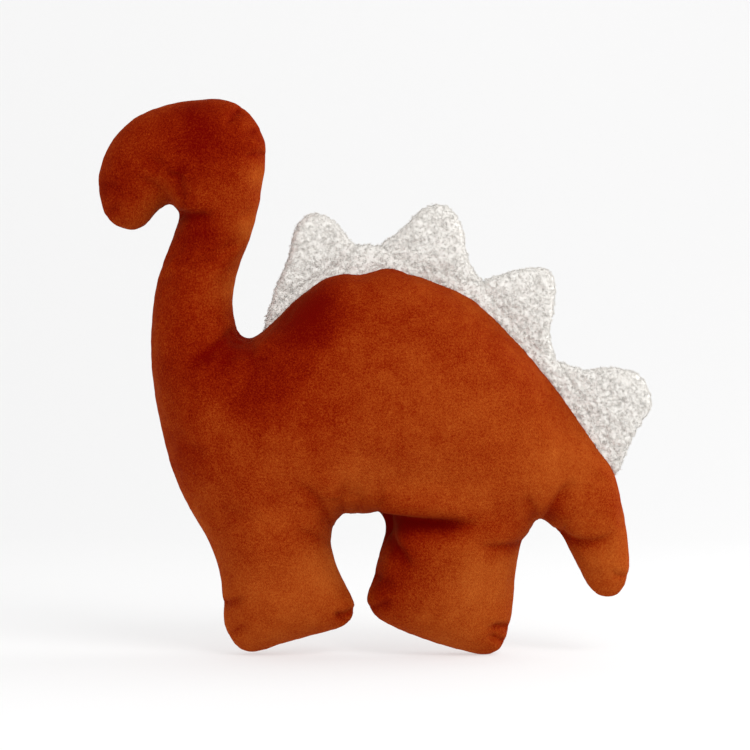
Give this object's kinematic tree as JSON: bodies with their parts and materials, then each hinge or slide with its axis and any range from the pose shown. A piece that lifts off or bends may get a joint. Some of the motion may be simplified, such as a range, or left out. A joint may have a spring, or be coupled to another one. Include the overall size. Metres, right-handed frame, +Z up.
{
  "type": "stuffed dinosaur",
  "caption": "Soft stuffed long-necked dinosaur in velvet with curly sherpa spikes along its back; its neck, head, legs, tail and spikes bend and spring back.",
  "frame": {"origin": "on the ground under the middle of the animal's overall box", "axes": "the animal faces -X, +Z is up, and its thickness runs along Y with its left side on -Y"},
  "size_m": [0.3983, 0.114, 0.4],
  "materials": {
    "velvet": "matte",
    "sherpa": "matte",
    "stuffing": "matte",
    "thread": "satin"
  },
  "bodies": {
    "head": {"head_left_panel": "velvet", "head_right_panel": "velvet", "head_fill": "stuffing"},
    "neck": {"neck_left_panel": "velvet", "neck_right_panel": "velvet", "neck_fill": "stuffing"},
    "torso": {"torso_left_panel": "velvet", "torso_right_panel": "velvet", "torso_fill": "stuffing", "back_strip_left": "sherpa", "back_strip_right": "sherpa", "closing_stitches": "thread"},
    "front_leg": {"front_leg_left_panel": "velvet", "front_leg_right_panel": "velvet", "front_leg_fill": "stuffing"},
    "hind_leg": {"hind_leg_left_panel": "velvet", "hind_leg_right_panel": "velvet", "hind_leg_fill": "stuffing"},
    "tail": {"tail_left_panel": "velvet", "tail_right_panel": "velvet", "tail_fill": "stuffing"},
    "spike_1": {"spike_1_left_pile": "sherpa", "spike_1_right_pile": "sherpa", "spike_1_fill": "stuffing"},
    "spike_2": {"spike_2_left_pile": "sherpa", "spike_2_right_pile": "sherpa", "spike_2_fill": "stuffing"},
    "spike_3": {"spike_3_left_pile": "sherpa", "spike_3_right_pile": "sherpa", "spike_3_fill": "stuffing"},
    "spike_4": {"spike_4_left_pile": "sherpa", "spike_4_right_pile": "sherpa", "spike_4_fill": "stuffing"}
  },
  "joints": [
    {"name": "neck_bend", "type": "hinge", "parent": "torso", "child": "neck", "pos_m": [-0.124, 0, 0.228], "axis": [1, 0, 0], "range_deg": [-25, 25], "stiffness_Nm_per_rad": 0.6},
    {"name": "head_nod", "type": "hinge", "parent": "neck", "child": "head", "pos_m": [-0.1135, 0, 0.3188], "axis": [0, 1, 0], "range_deg": [-12, 12], "stiffness_Nm_per_rad": 0.5},
    {"name": "front_leg_splay", "type": "hinge", "parent": "torso", "child": "front_leg", "pos_m": [-0.087, 0, 0.1026], "axis": [1, 0, 0], "range_deg": [-15, 15], "stiffness_Nm_per_rad": 2},
    {"name": "hind_leg_splay", "type": "hinge", "parent": "torso", "child": "hind_leg", "pos_m": [0.0615, 0, 0.1026], "axis": [1, 0, 0], "range_deg": [-15, 15], "stiffness_Nm_per_rad": 2},
    {"name": "tail_wag", "type": "hinge", "parent": "torso", "child": "tail", "pos_m": [0.1584, 0, 0.0914], "axis": [0.8838, 0, 0.4679], "range_deg": [-25, 25], "stiffness_Nm_per_rad": 0.4},
    {"name": "spike_1_flop", "type": "hinge", "parent": "torso", "child": "spike_1", "pos_m": [-0.04, 0, 0.273], "axis": [0.8893, 0, 0.4573], "range_deg": [-35, 35], "stiffness_Nm_per_rad": 0.03},
    {"name": "spike_2_flop", "type": "hinge", "parent": "torso", "child": "spike_2", "pos_m": [0.04225, 0, 0.27825], "axis": [0.9372, 0, -0.3489], "range_deg": [-35, 35], "stiffness_Nm_per_rad": 0.03},
    {"name": "spike_3_flop", "type": "hinge", "parent": "torso", "child": "spike_3", "pos_m": [0.10525, 0, 0.236], "axis": [0.7186, 0, -0.6954], "range_deg": [-35, 35], "stiffness_Nm_per_rad": 0.03},
    {"name": "spike_4_flop", "type": "hinge", "parent": "torso", "child": "spike_4", "pos_m": [0.15975, 0, 0.17025], "axis": [0.4844, 0, -0.8748], "range_deg": [-35, 35], "stiffness_Nm_per_rad": 0.03}
  ]
}
